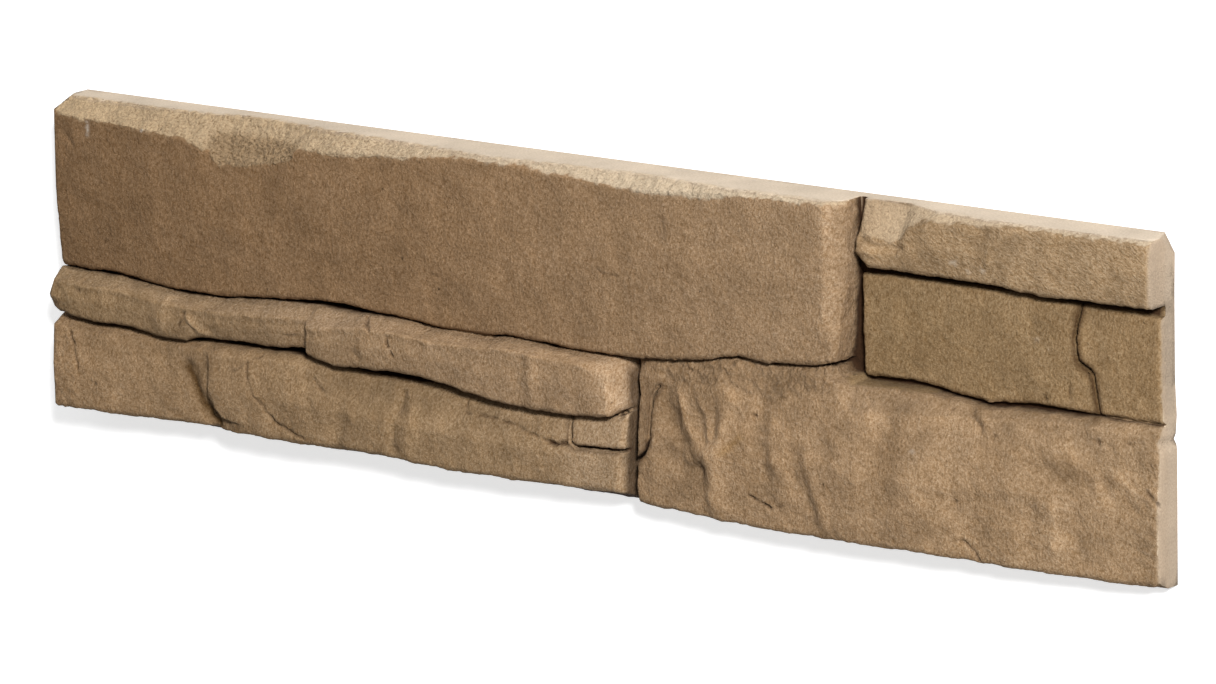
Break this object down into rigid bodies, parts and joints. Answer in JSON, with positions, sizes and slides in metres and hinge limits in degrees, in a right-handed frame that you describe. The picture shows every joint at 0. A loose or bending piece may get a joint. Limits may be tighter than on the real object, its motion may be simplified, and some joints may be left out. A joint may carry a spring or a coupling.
{
  "type": "stone cladding strip",
  "caption": "Long cast stone cladding strip with a flat back and a split-face front of mock ledge stones in staggered courses, bonded to walls in rows.",
  "frame": {"origin": "middle of the flat back, on the surface the strip lies on", "axes": "+X along the courses to the strip's right end, +Y up the wall, +Z out of the wall, from the back to the stone faces"},
  "size_m": [0.6, 0.15, 0.0345],
  "materials": {
    "cast_stone": "matte"
  },
  "bodies": {
    "root": {"cladding_strip": "cast_stone"}
  },
  "joints": []
}
